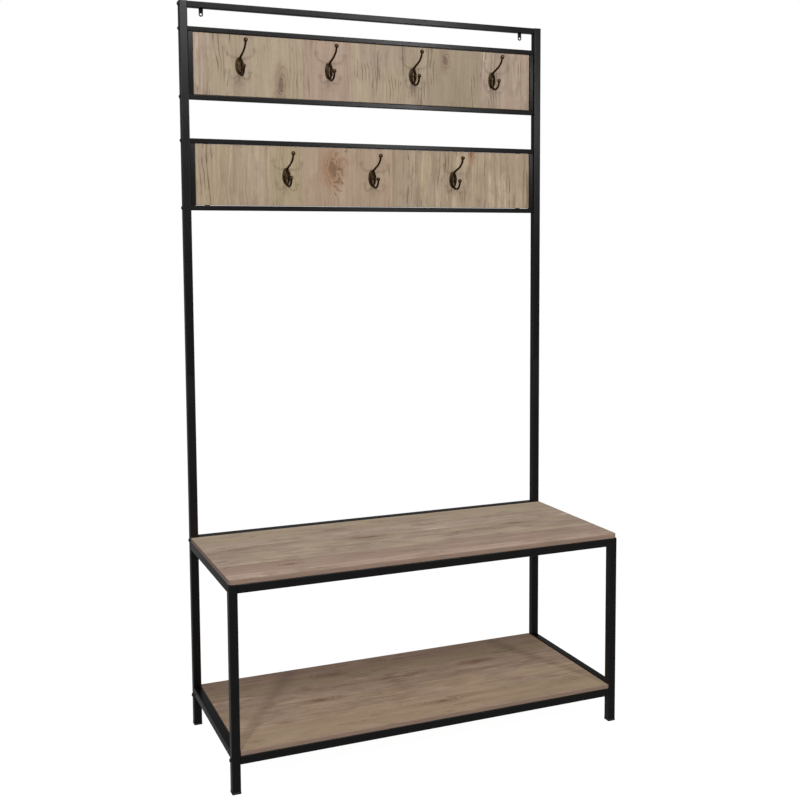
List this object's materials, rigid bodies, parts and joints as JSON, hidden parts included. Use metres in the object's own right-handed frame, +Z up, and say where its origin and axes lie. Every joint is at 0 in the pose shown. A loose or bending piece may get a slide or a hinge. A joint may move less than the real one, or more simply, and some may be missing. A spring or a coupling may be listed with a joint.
{
  "type": "hall tree",
  "caption": "Hall tree of square steel tube: a bench seat and a shoe shelf below a tall open back that carries two wooden rails of double-prong coat hooks.",
  "frame": {"origin": "on the floor, midway between the four feet", "axes": "+Z up; +X to the right along the bench as seen from the front; -Y is the front, +Y is the wall side"},
  "size_m": [1.0078, 0.417, 1.812],
  "materials": {
    "frame_paint": "satin black powder coat with a fine texture",
    "oak_panel": "matte weathered oak, grain upright, cracks and knots",
    "oak_board": "matte weathered oak, grain along the board",
    "hook_bronze": "antique bronze, rubbed lighter on the high spots",
    "black_bolt": "blackened steel, socket dome head",
    "foot_plastic": "moulded black plastic, fine texture"
  },
  "bodies": {
    "root": {"front_foot_left": "foot_plastic", "front_foot_right": "foot_plastic", "front_leg_left": "frame_paint", "front_leg_right": "frame_paint", "lower_panel_board": "oak_panel", "lower_panel_bottom_bar": "frame_paint", "lower_panel_bottom_bolt_left": "black_bolt", "lower_panel_bottom_bolt_right": "black_bolt", "lower_panel_hook_1": "hook_bronze", "lower_panel_hook_2": "hook_bronze", "lower_panel_hook_3": "hook_bronze", "lower_panel_stile_left": "frame_paint", "lower_panel_stile_right": "frame_paint", "lower_panel_top_bar": "frame_paint", "lower_panel_top_bolt_left": "black_bolt", "lower_panel_top_bolt_right": "black_bolt", "lower_upright_left": "frame_paint", "lower_upright_right": "frame_paint", "rear_foot_left": "foot_plastic", "rear_foot_right": "foot_plastic", "seat_back_bolt_left": "black_bolt", "seat_back_bolt_right": "black_bolt", "seat_back_rail": "frame_paint", "seat_board": "oak_board", "seat_front_bolt_left": "black_bolt", "seat_front_bolt_right": "black_bolt", "seat_front_rail": "frame_paint", "seat_side_rail_left": "frame_paint", "seat_side_rail_right": "frame_paint", "shelf_back_bolt_left": "black_bolt", "shelf_back_bolt_right": "black_bolt", "shelf_back_rail": "frame_paint", "shelf_board": "oak_board", "shelf_front_bolt_left": "black_bolt", "shelf_front_bolt_right": "black_bolt", "shelf_front_rail": "frame_paint", "shelf_side_rail_left": "frame_paint", "shelf_side_rail_right": "frame_paint", "splice_spigot_left": "black_bolt", "splice_spigot_right": "black_bolt", "top_rail": "frame_paint", "top_rail_bolt_left": "black_bolt", "top_rail_bolt_right": "black_bolt", "upper_panel_board": "oak_panel", "upper_panel_bottom_bar": "frame_paint", "upper_panel_bottom_bolt_left": "black_bolt", "upper_panel_bottom_bolt_right": "black_bolt", "upper_panel_hook_1": "hook_bronze", "upper_panel_hook_2": "hook_bronze", "upper_panel_hook_3": "hook_bronze", "upper_panel_hook_4": "hook_bronze", "upper_panel_stile_left": "frame_paint", "upper_panel_stile_right": "frame_paint", "upper_panel_top_bar": "frame_paint", "upper_panel_top_bolt_left": "black_bolt", "upper_panel_top_bolt_right": "black_bolt", "upper_upright_left": "frame_paint", "upper_upright_right": "frame_paint", "wall_tab_left": "frame_paint", "wall_tab_right": "frame_paint"}
  },
  "joints": []
}
